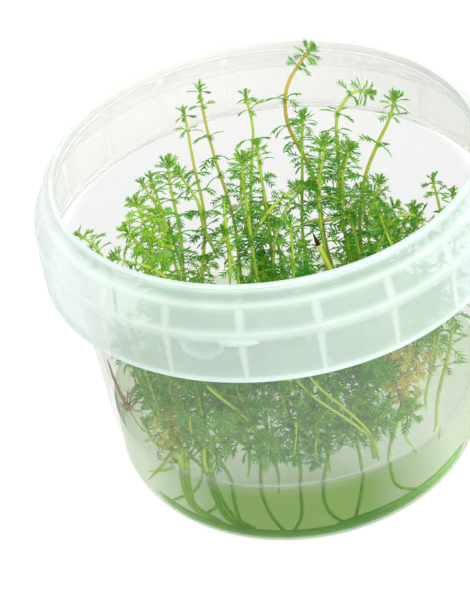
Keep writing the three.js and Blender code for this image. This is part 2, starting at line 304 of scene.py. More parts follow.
def wall_inner(z):
    """Free radius inside the tub at a height, in mm. The wall is thinner round the foot."""
    if z >= CORNER_RADIUS:
        share = clamped((z - CORNER_RADIUS) / (LOW_WALL_TOP - CORNER_RADIUS))
        return wall_outer(z) - LOW_WALL - (WALL - LOW_WALL) * share
    inner = CORNER_RADIUS - LOW_WALL
    return BASE_RADIUS + math.sqrt(max(inner ** 2 - (CORNER_RADIUS - z) ** 2, 0))


def arc(centre, radius, start, end, steps):
    """Points of an arc in the cross-section, from one angle to another in degrees."""
    angles = [math.radians(start + (end - start) * i / steps) for i in range(steps + 1)]
    return [(centre[0] + radius * math.cos(a), centre[1] + radius * math.sin(a)) for a in angles]


def spun(points):
    """A closed turned body from a cross-section of (radius, height) points in mm that starts and ends on
    the axis."""
    bm = bmesh.new()
    corners = [bm.verts.new((r * MM, 0, z * MM)) for r, z in points]
    edges = [bm.edges.new(pair) for pair in zip(corners, corners[1:])]
    bmesh.ops.spin(bm, geom=corners + edges, cent=(0, 0, 0), axis=(0, 0, 1), angle=math.tau, steps=TUB_STEPS,
                   use_merge=True)
    bmesh.ops.remove_doubles(bm, verts=bm.verts, dist=0.002 * MM)
    bmesh.ops.recalc_face_normals(bm, faces=bm.faces)
    return bm


def round_sharp_rings(bm):
    """Rounds every edge that turns by more than the ring angle, and says how many there were."""
    limit = math.radians(RING_ANGLE)
    sharp = [e for e in bm.edges if len(e.link_faces) == 2 and e.calc_face_angle() > limit]
    bmesh.ops.bevel(bm, geom=sharp, offset=RING_ROUND * MM, segments=3, profile=0.5, affect="EDGES",
                    material=-1)
    return len(sharp)


def set_attribute(piece, name, values):
    """Stores one number for each vertex under a name that a material can read."""
    attribute = piece.data.attributes.new(name, "FLOAT", "POINT")
    attribute.data.foreach_set("value", np.asarray(values, np.float32))


def coordinates(piece):
    """The vertices of a piece in mm, as rows."""
    flat = np.zeros(len(piece.data.vertices) * 3, np.float32)
    piece.data.vertices.foreach_get("co", flat)
    return flat.reshape(-1, 3) / MM


def settle(piece, node):
    """The piece rides on the model and stands for a node, whose imported part is hidden."""
    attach(piece, "root")
    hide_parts(node)
    return piece


# %% [markdown]
# Moulded polypropylene is clear only where it is thin. Light scatters a little in it, so it veils what stands
# behind it, and it veils more where it is thick: at the lip, the ridge, the skirt's edge and the webs. That
# could be done with a scattering volume, which is slow and grainy. Here the surface is partly see-through,
# and the share that hides is stored on the mesh as its milkiness. Its colour carries painted shade: the
# wall's inner face is painted dark grey, the outer face of the wall, up to just above the skirt's edge, a
# lighter grey, and the other faces are painted darker and greener at the front than at the back. Where a web
# meets the skirt the plastic is thickest, so a white V stands on the skirt there.

# %% White streaks over the webs
STREAK_TOP = 2.3
STREAK_FOOT = 0.8
STREAK_MILK = 0.88
STREAK_CORE = 0.1
STREAK_REACH = 1.7


def web_streaks(tree, axis, milk_here):
    """The milkiness with a soft V of white at each web, on the skirt alone."""
    angle = calculate(tree, "ARCTAN2", axis["Y"], axis["X"])
    step = math.tau / WEB_COUNT
    webs = calculate(tree, "MULTIPLY_ADD", angle, 1 / step, -math.radians(WEB_AZIMUTH) / step)
    beside = calculate(tree, "MULTIPLY", calculate(tree, "PINGPONG", webs, 0.5), step * SKIRT_RADIUS)
    half = ramp(tree, axis["Z"], SKIRT_BOTTOM * MM, RIDGE_HEIGHT * MM, STREAK_FOOT, STREAK_TOP)
    edge_in = calculate(tree, "MULTIPLY", half, STREAK_CORE)
    edge_out = calculate(tree, "MULTIPLY", half, STREAK_REACH)
    streak = ramp(tree, beside, edge_in, edge_out, STREAK_MILK, 0.0, "SMOOTHSTEP")
    wanted = calculate(tree, "MULTIPLY", streak, stored(tree, "skirt"))
    return calculate(tree, "MAXIMUM", milk_here, wanted)


# %% Milky polypropylene
WHITE_FROM = 0.72
WHITE_AT = 0.95
WHITEST = 0.4
FRONT_TO_BACK = 30

plastic, tree, output = new_material("milky polypropylene")
place, axis = place_on(tree)
uneven = ramp(tree, blots(tree, place, 9), 0.0, 1.0, 0.9, 1.1)
milk = web_streaks(tree, axis, calculate(tree, "MULTIPLY", stored(tree, "milkiness"), uneven))
# Painted shade: the plastic is painted darker and greener at the front than at the back.
behind = ramp(tree, axis["Y"], -FRONT_TO_BACK * MM, FRONT_TO_BACK * MM)
thick = mix_colours(tree, behind, linear("#d7e6e2"), linear("#eceae9"))
# Painted shade: the wall's outer face is painted a lighter grey.
outside = mix_colours(tree, stored(tree, "wall"), thick, linear("#c6cac3"))
solid = ramp(tree, milk, WHITE_FROM, WHITE_AT, 0.0, WHITEST)
whiter = mix_colours(tree, solid, outside, linear("#f4f8f5"))
# Painted shade: the wall's inner face is painted dark grey.
tint = mix_colours(tree, stored(tree, "painted_inner_shade"), whiter, linear("#70736c"))
main_shader(tree, output, {
    "Base Color": tint, "Roughness": 0.85, "IOR": 1.3, "Transmission Weight": 0.38, "Alpha": milk,
    "Normal": bumps(tree, blots(tree, place, 1.2, 3.0), 0.06, 0.1)})

# %% Tub
FOOT_HEIGHT = 20
SHADED_WALL_TOP = 65.0
inner_skirt = SKIRT_RADIUS - SKIRT_THICKNESS
gap_top = LEDGE_HEIGHT - LEDGE_THICKNESS
lip_inner = wall_inner(TUB_HEIGHT)
edge = 0.4
tub_section = [
    (0, RECESS_DEPTH),
    (BASE_RADIUS - FOOT_WIDTH - edge, RECESS_DEPTH),
    (BASE_RADIUS - FOOT_WIDTH, 0),
    *arc((BASE_RADIUS, CORNER_RADIUS), CORNER_RADIUS, -90, 0, CORNER_STEPS),
    (wall_outer(SKIRT_BOTTOM), SKIRT_BOTTOM),
    (wall_outer(gap_top), gap_top),
    (LEDGE_RADIUS - LEDGE_THICKNESS, gap_top),
    (inner_skirt, RIDGE_HEIGHT - edge),
    (inner_skirt - 0.2, SKIRT_BOTTOM),
    (SKIRT_RADIUS, SKIRT_BOTTOM),
    (SKIRT_RADIUS, RIDGE_HEIGHT + edge),
    (LEDGE_RADIUS, LEDGE_HEIGHT - edge),
    (LEDGE_RADIUS - edge, LEDGE_HEIGHT),
    (MOUTH_RADIUS - edge, LEDGE_HEIGHT),
    (MOUTH_RADIUS - edge, TUB_HEIGHT - 2 * edge),
    (MOUTH_RADIUS, TUB_HEIGHT - edge),
    (MOUTH_RADIUS - edge, TUB_HEIGHT),
    (lip_inner + edge, TUB_HEIGHT),
    (lip_inner + edge, TUB_HEIGHT - LIP_HEIGHT),
    (lip_inner - edge / 2, TUB_HEIGHT - LIP_HEIGHT - edge),
    (wall_inner(LOW_WALL_TOP), LOW_WALL_TOP),
    *arc((BASE_RADIUS, CORNER_RADIUS), CORNER_RADIUS - LOW_WALL, 0, -90, CORNER_STEPS),
    (BASE_RADIUS - FOOT_WIDTH, RECESS_DEPTH + LOW_WALL),
    (0, RECESS_DEPTH + LOW_WALL),
]
bm = spun(tub_section)
rounded = round_sharp_rings(bm)
print(rounded, "ring edges rounded")

# %% [markdown]
# The milkiness runs evenly from one vertex to the next, so a face that is long would smear a border over
# centimetres. Rings of vertices are cut in on both sides of each border of a milky zone.

# %% Rings at the borders of the zones
zone_borders = [
    (FOOT_HEIGHT, (0, 3)), (GEL_TOP + MENISCUS, (0, 0.5, 1.2)), (SKIRT_BOTTOM, (1.0, 1.8)),
    (SHADED_WALL_TOP, (-0.3, 0.7)), (RIDGE_HEIGHT, (-1.8, -0.9, 1.0, 1.9)),
    (LEDGE_HEIGHT, (-2.0, -1.1, 0.7)), (TUB_HEIGHT, (-1.5, -1.0))]
for border, offsets in zone_borders:
    for offset in offsets:
        bmesh.ops.bisect_plane(bm, geom=bm.verts[:] + bm.edges[:] + bm.faces[:],
                               plane_co=(0, 0, (border + offset) * MM), plane_no=(0, 0, 1))

# %% Webs
WEB_TOP_WIDTH = 3.2
WEB_FOOT_WIDTH = 1.1
SUNK = 0.3
WEB_RISE = 0.6
WEB_FOOT_DEPTH = 1.2
web_outline = [
    (wall_outer(gap_top) - SUNK, gap_top + SUNK),
    (inner_skirt - WEB_FOOT_DEPTH, SKIRT_BOTTOM + WEB_RISE),
    (inner_skirt + SUNK, SKIRT_BOTTOM + WEB_RISE),
    (inner_skirt + SUNK, RIDGE_HEIGHT - SUNK),
    (LEDGE_RADIUS - LEDGE_THICKNESS, gap_top + SUNK),
]
web = bmesh.new()
corners = [web.verts.new((r * MM, 0, z * MM)) for r, z in web_outline]
face = web.faces.new(corners)
bmesh.ops.solidify(web, geom=[face], thickness=MM)
bmesh.ops.recalc_face_normals(web, faces=web.faces)
middle = sum(v.co.y for v in web.verts) / len(web.verts)
for v in web.verts:
    high = (v.co.z / MM - SKIRT_BOTTOM) / (gap_top - SKIRT_BOTTOM)
    width = WEB_FOOT_WIDTH + (WEB_TOP_WIDTH - WEB_FOOT_WIDTH) * clamped(high)
    v.co.y = math.copysign(width / 2 * MM, v.co.y - middle)
first_web = Matrix.Rotation(math.radians(WEB_AZIMUTH), 3, "Z")
bmesh.ops.rotate(web, verts=web.verts, cent=(0, 0, 0), matrix=first_web)
bmesh.ops.spin(web, geom=web.verts[:] + web.edges[:] + web.faces[:], cent=(0, 0, 0), axis=(0, 0, 1),
               angle=math.tau * (WEB_COUNT - 1) / WEB_COUNT, steps=WEB_COUNT - 1, use_duplicate=True)
web_mesh = bpy.data.meshes.new("webs")
web.to_mesh(web_mesh)
print("web faces", len(web.faces))
web.free()
tub_vertices = len(bm.verts)
bm.from_mesh(web_mesh)
mark_vertices = len(bm.verts)
bpy.data.meshes.remove(web_mesh)

# %% [markdown]
# A half-moon and a short bar are moulded on the front of the skirt. They are thin rounded beads, so each is a
# curve with a round section, turned into a mesh and joined to the tub.

# %% Half-moon and bar
MARK_AZIMUTH = -115.5
MARK_WIDTH = 10
MARK_SAG = 3.6
MARK_STEPS = 16
MARK_RADIUS = 0.75
MARK_SUNK = 0.1
BAR_AZIMUTH = -106.5
BAR_WIDTH = 9.5
BAR_RADII = [0.2, 0.7, 0.85, 0.9, 0.85, 0.7, 0.2]
BAR_SUNK = 0.2
MARK_DEPTH = 1.6


def on_skirt(radius, azimuth, z):
    """The point in metres at a radius and a height in mm and an azimuth in degrees."""
    angle = math.radians(azimuth)
    return Vector((radius * math.cos(angle), radius * math.sin(angle), z)) * MM


def bead(points, radii, resolution=3):
    """The mesh of a closed round bead through points in metres, with a radius in mm at each."""
    curve = bpy.data.curves.new("bead", "CURVE")
    curve.dimensions = "3D"
    curve.bevel_depth = MM
    curve.bevel_resolution = resolution
    curve.use_fill_caps = True
    spline = curve.splines.new("POLY")
    spline.points.add(len(points) - 1)
    for point, place_at, radius in zip(spline.points, points, radii):
        point.co = (*place_at, 1)
        point.radius = radius
    holder = bpy.data.objects.new("bead", curve)
    mesh = bpy.data.meshes.new_from_object(holder)
    bpy.data.objects.remove(holder)
    bpy.data.curves.remove(curve)
    bm = bmesh.new()
    bm.from_mesh(mesh)
    bmesh.ops.remove_doubles(bm, verts=bm.verts, dist=0.001 * MM)
    bmesh.ops.recalc_face_normals(bm, faces=bm.faces)
    bm.to_mesh(mesh)
    bm.free()
    return mesh


mark_points = []
for i in range(MARK_STEPS + 1):
    across = i / MARK_STEPS
    sag = MARK_SAG * math.sqrt(1 - (2 * across - 1) ** 2)
    azimuth = MARK_AZIMUTH + MARK_WIDTH * across
    mark_points.append(on_skirt(SKIRT_RADIUS - MARK_SUNK, azimuth, RIDGE_HEIGHT - MARK_DEPTH - sag))
bar_points = []
for i in range(len(BAR_RADII)):
    azimuth = BAR_AZIMUTH + BAR_WIDTH * i / (len(BAR_RADII) - 1)
    bar_points.append(on_skirt(SKIRT_RADIUS - BAR_SUNK, azimuth, RIDGE_HEIGHT - MARK_DEPTH))
for points, radii in ((mark_points, [MARK_RADIUS] * len(mark_points)), (bar_points, BAR_RADII)):
    bar_vertices = len(bm.verts)
    mesh = bead(points, radii)
    bm.from_mesh(mesh)
    bpy.data.meshes.remove(mesh)
tub = new_piece("tub_shell", bm, [plastic])
tub.data.set_sharp_from_angle(angle=math.radians(SHARP_ANGLE))

# %% Milkiness of the tub
BODY_MILK = 0.22
FOOT_MILK = 0.04
INSIDE_MILK = 0.08
INSIDE_RIM_MILK = 0.03
SKIRT_MILK = 0.7
HIDDEN_MILK = 0.04
EDGE_MILK = 0.92
WEB_MILK = 0.03
MARK_MILK = 0.24
BAR_MILK = 0.75
HIGHLIGHT_LINE_MILK = 0.32
NEAR_FACE = 0.5
highlight_line = GEL_TOP + MENISCUS + 0.5
ring_edges = [(SKIRT_RADIUS, RIDGE_HEIGHT, 0.7), (SKIRT_RADIUS, SKIRT_BOTTOM, 0.9),
              (LEDGE_RADIUS, LEDGE_HEIGHT, 0.7), (MOUTH_RADIUS - 1, TUB_HEIGHT, 1.2)]
stored_values = {"milkiness": [], "painted_inner_shade": [], "skirt": [], "wall": []}
for number, (x, y, z) in enumerate(coordinates(tub)):
    radius = math.hypot(x, y)
    turned = number < tub_vertices
    inside = z > RECESS_DEPTH + LOW_WALL - 0.05 and radius < wall_inner(z) + 0.2
    slope = clamped((z - RIDGE_HEIGHT) / (LEDGE_HEIGHT - RIDGE_HEIGHT))
    skirt_here = SKIRT_RADIUS - (SKIRT_RADIUS - LEDGE_RADIUS) * slope
    outer_skirt = (z > SKIRT_BOTTOM - NEAR_FACE and radius > skirt_here - NEAR_FACE
                   or z > gap_top and not inside)
    on_wall = not inside and not outer_skirt and z < SHADED_WALL_TOP and radius < wall_outer(z) + 0.3
    if inside:
        milk_here = INSIDE_RIM_MILK if z > SHADED_WALL_TOP else FOOT_MILK if z < FOOT_HEIGHT else INSIDE_MILK
    elif outer_skirt:
        milk_here = SKIRT_MILK
    elif z > SKIRT_BOTTOM - NEAR_FACE and not on_wall:
        milk_here = HIDDEN_MILK
    else:
        milk_here = FOOT_MILK if z < FOOT_HEIGHT else BODY_MILK
    for ring_radius, ring_height, reach in ring_edges:
        far = math.hypot(radius - ring_radius, z - ring_height)
        milk_here += max(EDGE_MILK - milk_here, 0) * clamped(2 - far / reach)
    # Painted highlight: a lighter ring on the inner wall just above the gel's edge, kept out of the dark
    # grey.
    on_highlight_line = inside and abs(z - highlight_line) < 0.3
    if on_highlight_line:
        milk_here = HIGHLIGHT_LINE_MILK
    if not turned:
        milk_here = WEB_MILK if number < mark_vertices else MARK_MILK if number < bar_vertices else BAR_MILK
    # Painted shade: the inner face below the lip, apart from the highlight ring, is marked for dark grey.
    in_painted_shade = inside and z < TUB_HEIGHT - LIP_HEIGHT and not on_highlight_line
    stored_values["milkiness"].append(milk_here)
    stored_values["painted_inner_shade"].append(float(in_painted_shade and turned))
    stored_values["skirt"].append(float(outer_skirt and z < LEDGE_HEIGHT - 0.2 and turned))
    # The wall mask marks the outer face that is painted grey as shade.
    stored_values["wall"].append(float(on_wall and turned))
for name, values in stored_values.items():
    set_attribute(tub, name, values)
settle(tub, "tub")
print("tub", len(tub.data.polygons), "faces")

# %% [markdown]
# The gel is agar, mostly water. It is poured in warm and sets round the stems, so it fills the corner of the
# tub and climbs the wall a little at its edge. It sticks to the wall, and light bends little where they meet.
# Here a hair of air lies between them, and with the index of water that air would turn the gel into a mirror,
# so the gel gets a low index and a clear coat for its wet shine. It takes a little red out of the light. Its
# side along the wall and its top carry a painted green shade, deep at the front and fading to both sides; on
# the top the shade fades towards the right and the back.

# %% Nutrient gel
GREEN_FROM = -24
GREENEST_AT = -39
TO_THE_LEFT = 0.08

gel_material, tree, output = new_material("agar gel")
place, axis = place_on(tree)
haze = blots(tree, place, 6)
clear = mix_colours(tree, haze, linear("#eef6ea"), linear("#f4faf0"))
frontward = calculate(tree, "MULTIPLY_ADD", axis["X"], TO_THE_LEFT, axis["Y"])
greener = ramp(tree, frontward, GREEN_FROM * MM, GREENEST_AT * MM)
# Painted green shade: deep at the front, pale at the back; the stored side share says where it lies.
painted_green_shade = mix_colours(tree, greener, linear("#d6e5c8"), linear("#5c8429"))
main_shader(tree, output, {
    "Base Color": mix_colours(tree, stored(tree, "side"), clear, painted_green_shade), "Roughness": 0.06, "IOR": 1.025,
    "Transmission Weight": 0.8, "Coat Weight": 0.5, "Coat IOR": 1.33, "Coat Roughness": 0.04,
    "Normal": bumps(tree, haze, 0.08, 0.3)})
absorption = add_node(tree, "ShaderNodeVolumeAbsorption", None, {"Color": linear("#a8d070"), "Density": 3.0})
tree.links.new(absorption.outputs[0], output.inputs["Volume"])

CONTACT = 0.06
gel_section = [
    (0, RECESS_DEPTH + LOW_WALL + CONTACT),
    (BASE_RADIUS - FOOT_WIDTH, RECESS_DEPTH + LOW_WALL + CONTACT),
    *arc((BASE_RADIUS, CORNER_RADIUS), CORNER_RADIUS - LOW_WALL - CONTACT, -90, 0, CORNER_STEPS),
    (wall_inner(GEL_TOP) - CONTACT, GEL_TOP),
    (wall_inner(GEL_TOP + MENISCUS) - CONTACT, GEL_TOP + MENISCUS),
    (wall_inner(GEL_TOP) - 0.5, GEL_TOP + MENISCUS * 0.35),
    (wall_inner(GEL_TOP) - 1.1, GEL_TOP + MENISCUS * 0.1),
    (wall_inner(GEL_TOP) - 2.0, GEL_TOP),
    (0, GEL_TOP),
]
gel = new_piece("gel_body", spun(gel_section), [gel_material])
gel.data.set_sharp_from_angle(angle=math.radians(SHARP_ANGLE))
# The share of painted green shade: on the side along the wall from a few mm up, and on the top, fading to the
# right and back.
TOP_TINT = 0.8
TOP_CLEARS_AT = 18
TINT_FADES = 30
SIDE_FROM = 1
SIDE_FADES = 7
side = []
for x, y, z in coordinates(gel):
    at_wall = math.hypot(x, y) > wall_inner(z) - 0.4 and z < GEL_TOP + MENISCUS * 0.5
    of_side = clamped((z - SIDE_FROM) / SIDE_FADES)
    of_top = TOP_TINT * clamped((TOP_CLEARS_AT - x - y / 2) / TINT_FADES)
    side.append(of_side if at_wall else of_top if z > GEL_TOP - 0.1 else 0.0)
set_attribute(gel, "side", side)
settle(gel, "gel")
print("gel", len(gel.data.polygons), "faces")

# %% [markdown]
# Each plantlet is one stem. Its line is a smooth curve through a few points in mm, the same as in the packed
# model, from the foot in the gel to the tip. The second list holds the gaps between the upper whorls from the
# tip down, where single whorls can be told apart. The leafy stems by the wall and at the back share theirs.

# %% Lines of the stems
PLANTLETS = [
    ([(-17, 2, 6), (-18, 5, 30), (-17.5, 8, 47), (-15.5, 14, 58), (-15.5, 20, 68), (-16.3, 24, 80)],
     [3.4, 10, 4.2]),
    ([(-8, 14, 6), (-9, 19, 35), (-9.6, 23, 58), (-11, 27, 66), (-12.3, 30, 74), (-12, 30, 82)],
     [4, 7.5, 5, 4.5]),
    ([(-6, 4, 6), (-7, 9, 30), (-6, 14, 47), (-3, 21, 63), (-1.7, 25, 72), (-2, 27, 80)],
     [2.4, 7, 8]),
    ([(0, -2, 6), (-0.5, 2, 35), (-1.3, 7, 57), (-1, 12, 76)],
     [2.4, 4.6]),
    ([(14, 16, 6), (12, 22, 35), (10, 26, 58), (6.8, 30, 70), (7.6, 32, 78), (11.5, 34, 82.5),
      (14, 34.5, 85)], [3.2, 8, 6.5, 4.5, 5.5, 4]),
    ([(5, 6, 6), (6, 10, 35), (7.5, 15, 63), (9.4, 17, 74), (10.2, 18, 78)],
     [3, 5, 6]),
    ([(16, 6, 6), (16, 11, 40), (16.5, 16, 71), (18.3, 17, 79), (22, 18, 82.5), (25.2, 18, 81.8)],
     [2.6, 5, 4.2, 5.5]),
    ([(17, 13, 6), (19, 16, 35), (21.5, 17, 59), (26, 19, 67), (29, 19.5, 72), (31, 20, 78)],
     [2.4, 7.5, 8.5, 5]),
    ([(-24, -2, 6), (-22, 3, 40), (-21.3, 8, 62), (-21.2, 10, 76)],
     [3, 4, 4]),
    ([(-18, -9, 6), (-20, -5, 35), (-23.3, 1, 62), (-25.1, 4, 77)],
     [2.6, 5]),
    ([(-30, -4, 6), (-30.5, -5, 40), (-23.5, -3, 68), (-26.8, 0, 78.5)],
     [2.6, 5]),
    ([(-25, -18, 6), (-27.5, -18, 40), (-26.6, -14, 62), (-27.3, -11, 72), (-28.4, -9, 80)],
     [1.4, 1.5, 1.6, 1.7, 1.8, 2, 2, 2]),
    ([(-3, -9, 6), (-4.5, -5, 40), (-5.5, 3, 71), (-4.7, 4, 78)],
     [2.4, 3.4, 4]),
    ([(9, -2, 6), (10, 2, 40), (11.9, 7, 70), (14.1, 8, 77)],
     [2.4, 3, 4]),
    ([(22, 3, 6), (19, 5, 40), (16.6, 8, 64), (19, 10, 73)],
     [2.4, 3, 4]),
    ([(29, -4, 6), (34, -4, 35), (36.7, -4, 62), (35.8, -2, 70)],
     [2.6, 5.5]),
    ([(29, -13, 6), (36, -14, 40), (38.8, -14, 74)],
     [2.6, 6]),
    ([(-30, -9, 6), (-36, -13, 40), (-37, -15, 70), (-38.6, -14.6, 74.4), (-41.4, -13, 76.7)],
     [2.4, 2.4, 3]),
    ([(-13, -15, 6), (-17, -19, 45), (-25, -21, 69), (-34, -21, 75)],
     [2.4, 3.6, 4, 5]),
    ([(13, -9, 6), (19, -7, 45), (25.5, -8, 64.5), (29.6, -8, 66), (33.5, -9, 61)],
     [3, 4.5, 5]),
]
LEAFY_STEMS = [
    [(-10, -31, 5), (-10.5, -32, 28), (-13, -29.5, 45), (-15, -25, 61)],
    [(-3, -31.5, 5), (-2.5, -32, 28), (-4, -30, 45), (-6, -25, 63)],
    [(3.5, -31.5, 5), (5, -31, 28), (7, -28, 45), (5.5, -22, 64)],
    [(10, -30, 5), (12, -30, 27), (15.5, -28, 42), (18, -23, 60)],
    [(18, -26, 5), (21, -28, 26), (24.5, -27.5, 40), (27, -24, 56)],
    [(-21, -24, 5), (-28, -26, 27), (-32, -24, 42), (-34, -19, 56)],
    [(-17, -27, 5), (-20, -29.5, 27), (-22, -28, 42), (-22, -22, 58)],
    [(-8, -20, 5), (-8, -20, 30), (-9, -14, 52), (-11, -9, 69)],
    [(4, -18, 5), (3, -18, 30), (2.5, -14, 52), (3.5, -9, 69)],
    [(23, -13, 5), (25, -15, 30), (26, -14, 50), (23, -8, 68)],
    [(28, 8, 5), (30, 10, 30), (31.2, 11, 44), (32, 10, 52)],
    [(2, 24, 5), (1, 28, 25), (0, 30, 36), (-1, 31, 44)],
    [(-19, 19, 5), (-22, 23, 28), (-23.5, 25, 40), (-24, 25, 48)],
    [(22, 22, 5), (22, 26, 25), (22, 29, 38), (21.5, 30, 48)],
]
USUAL_GAPS = [2.6, 4, 4]
PLANTLETS += [(line, USUAL_GAPS) for line in LEAFY_STEMS]
PATH_STEP = 0.5


def smooth_path(points):
    """Points every half millimetre on a centripetal curve through the given ones, and its directions."""
    p = [np.array(point, float) for point in points]
    p = [2 * p[0] - p[1], *p, 2 * p[-1] - p[-2]]
    dense = []
    for before, start, end, after in zip(p, p[1:], p[2:], p[3:]):
        d0, d1, d2 = (np.linalg.norm(b - a) ** 0.5 for a, b in ((before, start), (start, end), (end, after)))
        leave = ((start - before) / d0 - (end - before) / (d0 + d1) + (end - start) / d1) * d1
        arrive = ((end - start) / d1 - (after - start) / (d1 + d2) + (after - end) / d2) * d1
        for t in np.linspace(0, 1, 60, endpoint=False):
            dense.append(start + leave * t + (3 * (end - start) - 2 * leave - arrive) * t ** 2
                         + (2 * (start - end) + leave + arrive) * t ** 3)
    dense.append(p[-2])
    dense = np.array(dense)
    run = np.concatenate([[0], np.cumsum(np.linalg.norm(np.diff(dense, axis=0), axis=1))])
    stops = np.linspace(0, run[-1], max(int(run[-1] / PATH_STEP), 2))
    even = np.stack([np.interp(stops, run, dense[:, k]) for k in range(3)], axis=1)
    ways = np.gradient(even, axis=0)
    return even, ways / np.linalg.norm(ways, axis=1, keepdims=True)


# %% [markdown]
# A milfoil leaf is a small feather: a fine midrib with pairs of thread-like leaflets that point forward. One
# flat leaf of unit length is built from thin three-sided cones. Every leaf of the plants is then a copy that
# is bent, turned and scaled on its own. It has only a few dozen faces, because there are thousands of them.

# %% One feathery leaf
MIDRIB_RADIUS = 0.045
LEAFLET_RADIUS = 0.062
LEAFLET_REACH = 0.32
LAST_PAIR = 0.84
SPREAD_CLOSES = 16


def as_arrays(bm):
    """The vertices and the triangles of a bmesh, which is then let go."""
    bm.verts.index_update()
    vertices = np.array([v.co[:] for v in bm.verts])
    triangles = np.array([[v.index for v in f.verts] for f in bm.faces])
    bm.free()
    return vertices, triangles


def add_cone(bm, start, end, radius, tip_radius, flatness, cuts=0):
    """A closed three-sided cone from start to end, flattened square to the leaf."""
    start = Vector(start)
    end = Vector(end)
    along = (end - start).normalized()
    across = Vector((0, 0, 1)).cross(along)
    turned_frame = Matrix((across, Vector((0, 0, 1)), along)).transposed().to_4x4()
    place_it = Matrix.Translation((start + end) / 2) @ turned_frame @ Matrix.Diagonal((1, flatness, 1, 1))
    made = bmesh.ops.create_cone(bm, cap_ends=True, cap_tris=False, segments=3, radius1=radius,
                                 radius2=tip_radius, depth=(end - start).length, matrix=place_it)
    if cuts:
        long_edges = [e for e in {e for v in made["verts"] for e in v.link_edges}
                      if abs((e.verts[1].co - e.verts[0].co).normalized().dot(along)) > 0.9]
        bmesh.ops.subdivide_edges(bm, edges=long_edges, cuts=cuts, use_grid_fill=True)


def feather(pairs, first, spread, stout=1.0):
    """Vertices and triangles of a flat leaf along X, with its leaflets from a share of its length on."""
    bm = bmesh.new()
    add_cone(bm, (0, 0, 0), (1, 0, 0), MIDRIB_RADIUS * stout, MIDRIB_RADIUS * stout * 0.6, 0.8, cuts=2)
    for number in range(pairs):
        share = number / (pairs - 1)
        root = first + (LAST_PAIR - first) * share
        length = LEAFLET_REACH * (0.75 + 0.5 * math.sin(math.pi * (0.25 + 0.6 * share)))
        lean = math.radians(spread - SPREAD_CLOSES * share)
        for side in (-1, 1):
            tip = (root + length * math.cos(lean), side * length * math.sin(lean), 0)
            add_cone(bm, (root, 0, 0), tip, LEAFLET_RADIUS * stout, LEAFLET_RADIUS * stout * 0.45, 0.6)
    bmesh.ops.remove_doubles(bm, verts=bm.verts, dist=1e-5)
    bmesh.ops.triangulate(bm, faces=bm.faces)
    return as_arrays(bm)


FULL_LEAF = feather(pairs=3, first=0.42, spread=50)
YOUNG_LEAF = feather(pairs=3, first=0.45, spread=42, stout=1.35)
THREAD_LEAF = feather(pairs=2, first=0.55, spread=26, stout=0.36)
print("a leaf has", len(FULL_LEAF[1]), "triangles")


def bent_leaf(template, root, along_stem, outward, length, rise, droop, twist):
    """The vertices of a leaf that leaves the stem at a rise and then bends down by a droop, in degrees."""
    flat = template[0]
    start = math.radians(rise)
    bend = math.radians(droop) or 0.01
    turn_at = start - bend * flat[:, 0]
    forward = (math.sin(start) - np.sin(turn_at)) / bend
    upward = (np.cos(turn_at) - math.cos(start)) / bend
    rolled = math.radians(twist) * flat[:, 0]
    sideways = flat[:, 1] * np.cos(rolled) - flat[:, 2] * np.sin(rolled)
    lifted = flat[:, 1] * np.sin(rolled) + flat[:, 2] * np.cos(rolled)
    forward = forward - lifted * np.sin(turn_at)
    upward = upward + lifted * np.cos(turn_at)
    side = np.cross(along_stem, outward)
    bent = forward[:, None] * outward + upward[:, None] * along_stem + sideways[:, None] * side
    return root + length * bent


# %% [markdown]
# Plant tissue is thin and wet, so it is lit softly and has a faint shine. Young growth is yellow-green, old
# leaves are deeper and bluer, and dying ones turn yellow, orange and brown. Each vertex carries its age, its
# fading and a random number, and the materials mix their colours from these. Light also passes through a
# leaf, which is why a crowded tuft stays bright inside: a small share of the shader lets it through.

# %% Leaf and stem tissue


def tissue(name, young, mature, deep, faded, roughness, passing):
    """A plant material whose colour runs from young to mature to deep with age, and to faded."""
    material, tree, output = new_material(name)
    parts = add_node(tree, "ShaderNodeSeparateColor", None, {"Color": stored(tree, "tone", "Color")}).outputs
    ripe = mix_colours(tree, parts["Red"], linear(young), linear(mature))
    share = calculate(tree, "MULTIPLY", parts["Blue"], blots(tree, place_on(tree)[0], 2.5))
    varied = mix_colours(tree, share, ripe, linear(deep))
    main_shader(tree, output, {
        "Base Color": mix_colours(tree, parts["Green"], varied, linear(faded)), "Roughness": roughness,
        "IOR": 1.38, "Specular IOR Level": 0.25, "Transmission Weight": passing})
    return material


leaf_tissue = tissue("milfoil leaf", "#baf03e", "#58c830", "#1f8038", "#fff494", 0.6, 0.42)
stem_tissue = tissue("milfoil stem", "#b8cc50", "#94b438", "#ccf434", "#cfa545", 0.5, 0.15)

# %% [markdown]
# A plant is gathered as arrays of vertices and triangles and becomes one mesh, because an object for each of
# its hundreds of leaves would be slow. Leaves low in the tub are made paler, partly as painted light that
# brightens the crowded low foliage, partly because shaded leaves grow paler. Stems turn to a clear
# yellow-green in the gel.

# %% Plants from stems and leaves
LEAF_LENGTH = 4.2
LEAVES_PER_WHORL = 5
LOWEST_WHORL = GEL_TOP + 2
LONGEST_YOUNG_LEAF = 2.6
WALL_GAP = 0.5
# Leaves below this height are made paler, partly as painted light.
PALE_BELOW = 54
PALE_FADES = 18
PALE_YOUNGER = 0.35
PALE_LESS_DEEP = 0.5
RING_EVERY = 4
STEM_GREENS_FROM = 29
STEM_GREEN_AT = 15
STEM_GREEN = 1.8
random.seed(7)


